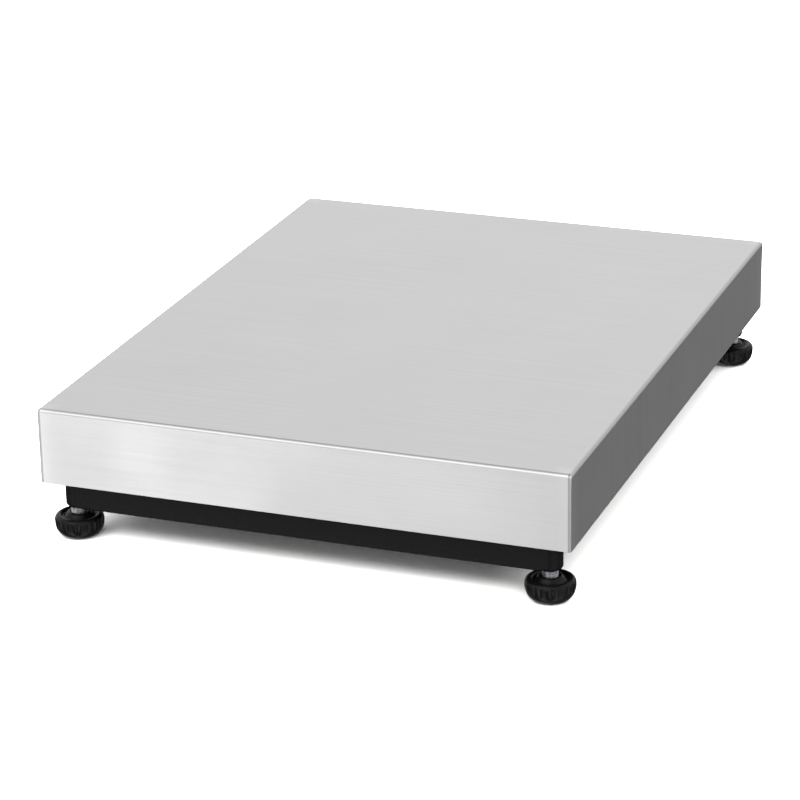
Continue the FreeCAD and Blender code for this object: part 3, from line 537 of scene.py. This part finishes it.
def flutedRadius(r, angle, z):
    # the knob's own radius, or the wall of the nearest flute where that is nearer, blended over the rim
    v = knobValues
    pitch = 2 * math.pi / v["flutes"]
    off = (angle % pitch) - pitch / 2
    centre = v["radius"] + v["fluteRadius"] - v["fluteBite"]
    inside = v["fluteRadius"] ** 2 - (centre * math.sin(off)) ** 2
    if inside <= 0:
        return r
    wall = centre * math.cos(off) - math.sqrt(inside)
    blend = max(v["edge"] - abs(r - wall), 0) / v["edge"]
    return min(r, wall) - blend * blend * v["edge"] / 4


def threadRadius(r, angle, z):
    # a right-handed rolled thread with flat crests, bevelled at both ends
    v = studValues
    phase = (z / v["pitch"] - angle / (2 * math.pi)) % 1
    away = 2 * min(phase, 1 - phase)
    cut = min(max((away - v["crest"]) / v["flank"], 0), 1)
    top = v["start"] + v["length"]
    limit = v["radius"] - max(z - (top - v["chamfer"]), 0) - max(v["start"] + v["chamfer"] - z, 0)
    return min(v["radius"] - v["depth"] * cut, limit) if r > 1 else r


def makeFoot(corner):
    low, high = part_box("foot_stud_" + corner)
    axis = (low + high) / 2
    v = knobValues
    profile = v["underside"] + cutCorners(v["outside"], 2)[1:-1] + v["bore"]
    mesh = latheMesh("knob_" + corner, profile, v["flutes"] * v["stepsPerFlute"], flutedRadius, axis)
    newPiece("knob_" + corner, mesh, "knob_plastic", "foot_" + corner, ["foot_knob_" + corner])
    v = studValues
    steps = round(v["length"] / v["pitch"] * v["stepsPerTurn"])
    heights = [v["start"] + v["length"] * i / steps for i in range(steps + 1)]
    profile = [(0, heights[0])] + [(v["radius"], z) for z in heights] + [(0, heights[-1])]
    mesh = latheMesh("stud_" + corner, profile, v["around"], threadRadius, axis)
    newPiece("stud_" + corner, mesh, "zinc_stud", "foot_" + corner, ["foot_stud_" + corner])


for corner in corners:
    makeFoot(corner)
print("feet turned")

# The load cell and its potting bend a little as the weigh frame goes down; each is copied here into a piece of
# its own, named for bending.
for name, slotName in (("load_cell", "cell_aluminium"), ("load_cell_seals", "cell_sealant")):
    piece = newPiece("bending_" + name, nodes[name].data.copy(), slotName, None, [name])
    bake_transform(piece)

# The level's bubble and the ring it is centred in.
levelValues = {
    "bubbleRadius": 2.9, "bubbleHeight": 1.1, "bubbleGap": 0.1,     # mm; the gap is under the window
    "ringRadius": 3.6, "ringWidth": 0.35, "ringRise": 0.05, "ringSunk": 0.02,
    "bubbleSteps": 14, "bubbleAround": 36, "ringAround": 48,
}


def plainRadius(r, angle, z):
    return r


def makeLevelDetails():
    v = levelValues
    fluidLow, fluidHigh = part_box("level_fluid")
    windowLow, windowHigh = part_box("level_window")
    axis = (fluidLow + fluidHigh) / 2
    top = fluidHigh.z / mm
    dome = []
    for i in range(v["bubbleSteps"] + 1):
        a = math.pi * i / v["bubbleSteps"]
        below = v["bubbleGap"] + v["bubbleHeight"] * (1 + math.cos(a)) / 2
        dome.append((v["bubbleRadius"] * math.sin(a), top - below))
    mesh = latheMesh("bubble", dome, v["bubbleAround"], plainRadius, axis)
    mesh.materials.append(materials["clear cast acrylic"])
    newPiece("level_bubble", mesh, "level_liquid", "base")
    face = windowHigh.z / mm - v["ringSunk"]
    inside = v["ringRadius"] - v["ringWidth"] / 2
    outside = v["ringRadius"] + v["ringWidth"] / 2
    section = [(inside, face), (inside, face + v["ringRise"]), (outside, face + v["ringRise"]), (outside, face)]
    section.append(section[0])
    mesh = latheMesh("ring", section, v["ringAround"], plainRadius, axis)
    newPiece("level_ring", mesh, "level_plastic", "base")


makeLevelDetails()
print("level finished")

# Studio: a pale floor, two softboxes, and a room of bright and dark walls, which is what the steel mirrors.
# A wall is the direction it stands in, the cosines at which it starts and is full, and its brightness. Low
# walls ignore height, as the floor isn't mirrored. The bright one to the front left lights the front skirt and
# fades to the right; the dark one to the right rear keeps the right skirt dark.
roomValues = {
    "between": 0.12,            # brightness where no low wall stands
    "lowWalls": {
        "front left": ((-0.4879, -0.8729, 0), 0.9763, 0.9914, 2.45),
        "front right": ((0.90, -0.44, 0), 0.80, 0.95, 1.30),
        "rear left": ((-0.50, 0.87, 0), 0.80, 0.95, 0.80),
        "rear right": ((0.60, 0.80, 0), 0.25, 0.55, 0.155),
    },
    "highWalls": {
        "sky": ((0, 0, 1), -0.20, 0.05, 0.89),
        "above right": ((0.42, 0.84, 0.34), 0.90, 0.98, 0.60),
        "behind the box": ((-0.20, 0.40, 0.90), 0.86, 0.97, 0.42),
    },
    "boxGlow": ((-0.28, -0.68, 0.68), 0.89, 0.97, 0.90),     # added: the line along the front fold
    "floor": ("#f4f4f3", "#f8f8f7"), "floorHalf": 40.0, "floorCloud": 400,      # m, mm
}


def makeFloor():
    v = roomValues
    material, tree, shader, place = startMaterial("matt white paper floor")
    cloud = addNode(tree, "TexNoise", {}, {"Vector": place, "Scale": 1000 / v["floorCloud"], "Detail": 2})
    colour = addNode(tree, "Mix", {"data_type": "RGBA"}, {
        0: cloud.outputs["Fac"], 6: hexColour(v["floor"][0]), 7: hexColour(v["floor"][1]),
    })
    addNode(tree, shader, {}, {"Base Color": colour.outputs[2], "Roughness": 0.95, "Specular IOR Level": 0.0})
    half = v["floorHalf"]
    square = [(-half, -half, 0), (half, -half, 0), (half, half, 0), (-half, half, 0)]
    mesh = meshFrom("floor", square, [(0, 1, 2, 3)])
    mesh.materials.append(material)
    floor = bpy.data.objects.new("studioFloor", mesh)
    floor.visible_glossy = False
    bpy.context.scene.collection.objects.link(floor)


def wallShare(tree, vector, direction, start, full):
    # 0 to 1 as a look direction turns from the wall's start to where it is full
    direction = Vector(direction).normalized()
    dot = addNode(tree, "VectorMath", {"operation": "DOT_PRODUCT"}, {0: vector, 1: direction})
    share = addNode(tree, "MapRange", {"interpolation_type": "SMOOTHSTEP"}, {
        "Value": dot.outputs["Value"], "From Min": start, "From Max": full,
    })
    return share.outputs["Result"]


def makeRoom():
    v = roomValues
    world = bpy.data.worlds.new("studio")
    world.use_nodes = True
    tree = world.node_tree
    toward = addNode(tree, "TexCoord").outputs["Generated"]
    flat = addNode(tree, "VectorMath", {"operation": "MULTIPLY"}, {0: toward, 1: (1, 1, 0)})
    level = addNode(tree, "VectorMath", {"operation": "NORMALIZE"}, {0: flat.outputs["Vector"]})
    light = v["between"]
    for vector, walls in ((level.outputs["Vector"], v["lowWalls"]), (toward, v["highWalls"])):
        for direction, start, full, brightness in walls.values():
            share = wallShare(tree, vector, direction, start, full)
            mixed = addNode(tree, "Mix", {"data_type": "FLOAT"}, {0: share, 2: light, 3: brightness})
            light = mixed.outputs[0]
    direction, start, full, brightness = v["boxGlow"]
    share = wallShare(tree, toward, direction, start, full)
    light = addNode(tree, "Math", {"operation": "MULTIPLY_ADD"}, {0: share, 1: brightness, 2: light})
    background = tree.nodes["Background"]
    addNode(tree, background, {}, {"Color": (1, 1, 1, 1), "Strength": light.outputs[0]})
    bpy.context.scene.world = world


# They light the floor and the black parts only: the steel mirrors the room's walls instead.
softboxes = {
    "key softbox": {"place": (-1.3, -1.9, 2.4), "size": (1.8, 1.4), "watts": 30},
    "overhead softbox": {"place": (0.2, 0.1, 2.9), "size": (8.0, 8.0), "watts": 1000},
}
cameraValues = {
    "place": (0.8204, -2.2330, 0.9625), "aim": (-0.00442, -0.04671, 0.053),
    "roll": -1.027, "lens": 141.42,
}


def makeLightsAndCamera():
    for name, v in softboxes.items():
        light = bpy.data.lights.new(name, "AREA")
        light.shape = "RECTANGLE"
        light.size, light.size_y = v["size"]
        light.energy = v["watts"]
        lamp = bpy.data.objects.new(name, light)
        lamp.location = v["place"]
        lamp.visible_glossy = False
        lamp.rotation_euler = (-Vector(v["place"])).to_track_quat("-Z", "Y").to_euler()
        bpy.context.scene.collection.objects.link(lamp)
    v = cameraValues
    camera = bpy.data.cameras.new("camera")
    camera.sensor_width = 36
    camera.lens = v["lens"]
    holder = bpy.data.objects.new("camera", camera)
    look = (Vector(v["aim"]) - Vector(v["place"])).to_track_quat("-Z", "Y").to_matrix().to_4x4()
    roll = Matrix.Rotation(math.radians(v["roll"]), 4, "Z")
    holder.matrix_world = Matrix.Translation(v["place"]) @ look @ roll
    bpy.context.scene.collection.objects.link(holder)
    bpy.context.scene.camera = holder
    bpy.context.scene.view_settings.view_transform = "Standard"


makeFloor()
makeRoom()
makeLightsAndCamera()
print("studio set")
